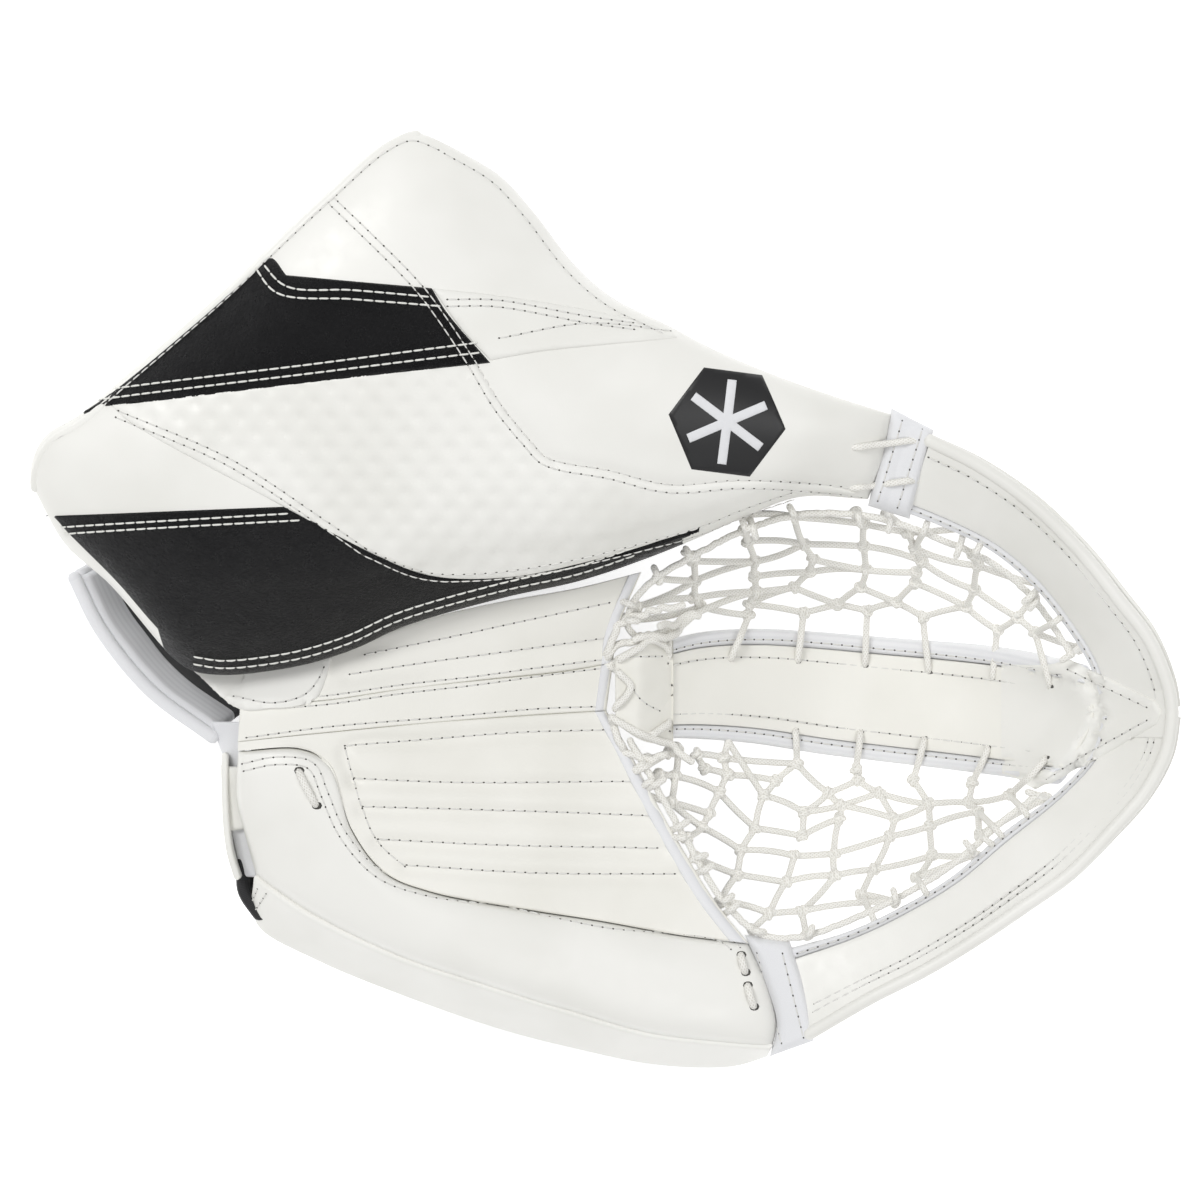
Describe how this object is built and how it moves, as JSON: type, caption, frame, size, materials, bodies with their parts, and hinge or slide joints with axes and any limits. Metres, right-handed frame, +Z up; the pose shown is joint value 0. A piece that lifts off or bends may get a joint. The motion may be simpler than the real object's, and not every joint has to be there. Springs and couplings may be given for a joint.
{
  "type": "goalie catch glove",
  "caption": "Open ice hockey goalie catch glove lying on its back: padded cuff and thumb, pleated palm, laced net pocket with a T band, padded backhand, and hook-and-loop straps.",
  "frame": {"origin": "on the ground, under the middle of the glove as it lies on its back with the palm and pocket up", "axes": "+X from the wrist towards the top of the pocket, +Y towards the thumb, +Z up out of the pocket"},
  "size_m": [0.5202, 0.4257, 0.1615],
  "materials": {
    "white_leather": "satin, faint grain",
    "black_leather": "semi-gloss, pebbled grain",
    "white_nylon": "woven binding, matt",
    "black_nylon": "coarse woven nylon, matt",
    "felt": "brushed lining, matt",
    "board": "matt",
    "lace": "braided, matt"
  },
  "bodies": {
    "hand_side": {"palm_finger_leather": "white_leather", "palm_finger_felt": "felt", "palm_finger_edge_binding": "white_nylon", "finger_roll_pad": "white_leather", "finger_board": "board", "finger_side_wall": "white_leather", "finger_tip_binding": "white_nylon", "rim_finger_face": "white_leather", "rim_finger_core": "board", "rim_finger_back": "white_leather", "rim_finger_binding": "white_nylon", "rim_finger_welt": "white_leather", "backhand_pad": "black_nylon", "backhand_lining": "felt", "knuckle_pad": "black_nylon", "wrist_cover": "black_nylon", "wrist_roll": "black_nylon", "heel_band": "white_leather", "wrist_hook_patch": "black_nylon", "wrist_strap_anchor": "white_leather", "hand_hook_patch": "black_nylon", "hand_strap_anchor": "white_leather", "index_stall": "felt", "middle_stall": "felt", "ring_stall": "felt", "little_stall": "felt"},
    "spine": {"palm_center_leather": "white_leather", "palm_center_felt": "felt", "palm_center_edge_binding": "white_nylon", "t_face": "white_leather", "t_core": "board", "t_back": "white_leather", "t_back_pad": "white_leather", "t_lower_binding": "white_nylon", "t_upper_binding": "white_nylon", "net_upper": "lace", "net_lower": "lace"},
    "thumb_side": {"cuff_thumb_pad": "white_leather", "cuff_thumb_board": "board", "cuff_lining": "felt", "thumb_lining": "felt", "thumb_back_pad": "black_nylon", "thumb_stall": "felt", "thumb_tip_binding": "white_nylon", "palm_thumb_leather": "white_leather", "palm_thumb_felt": "felt", "palm_thumb_edge_binding": "white_nylon", "rim_thumb_face": "white_leather", "rim_thumb_core": "board", "rim_thumb_back": "white_leather", "rim_thumb_binding": "white_nylon", "rim_thumb_welt": "white_leather", "thumb_hook_patch": "black_nylon", "thumb_strap_anchor": "white_leather"},
    "wrist_strap": {"wrist_strap": "white_nylon"},
    "hand_strap": {"hand_strap": "white_nylon"},
    "thumb_strap": {"thumb_strap": "white_nylon"}
  },
  "joints": [
    {"name": "finger_fold", "type": "hinge", "parent": "hand_side", "child": "spine", "pos_m": [0.044, -0.0525, 0.103], "axis": [0.9993, 0.0281, 0.0234], "range_deg": [0, 35], "stiffness_Nm_per_rad": 0.6},
    {"name": "thumb_fold", "type": "hinge", "parent": "spine", "child": "thumb_side", "pos_m": [0.0445, -0.044, 0.103], "axis": [0.9997, -0.0024, 0.0235], "range_deg": [0, 35], "stiffness_Nm_per_rad": 0.6},
    {"name": "wrist_strap_open", "type": "hinge", "parent": "hand_side", "child": "wrist_strap", "pos_m": [-0.20208, -0.03555, 0.03863], "axis": [-0.7498, 0.6584, 0.0661], "range_deg": [0, 100]},
    {"name": "hand_strap_open", "type": "hinge", "parent": "hand_side", "child": "hand_strap", "pos_m": [-0.11493, -0.16012, 0.0235], "axis": [-0.9321, 0.3577, 0.0577], "range_deg": [0, 90]},
    {"name": "thumb_strap_open", "type": "hinge", "parent": "thumb_side", "child": "thumb_strap", "pos_m": [0.04099, 0.04332, 0.07155], "axis": [-0.9244, -0.3473, -0.1579], "range_deg": [0, 100]}
  ],
  "couplings": [
    {"joint": "thumb_fold", "follows": "finger_fold", "ratio": 1}
  ]
}
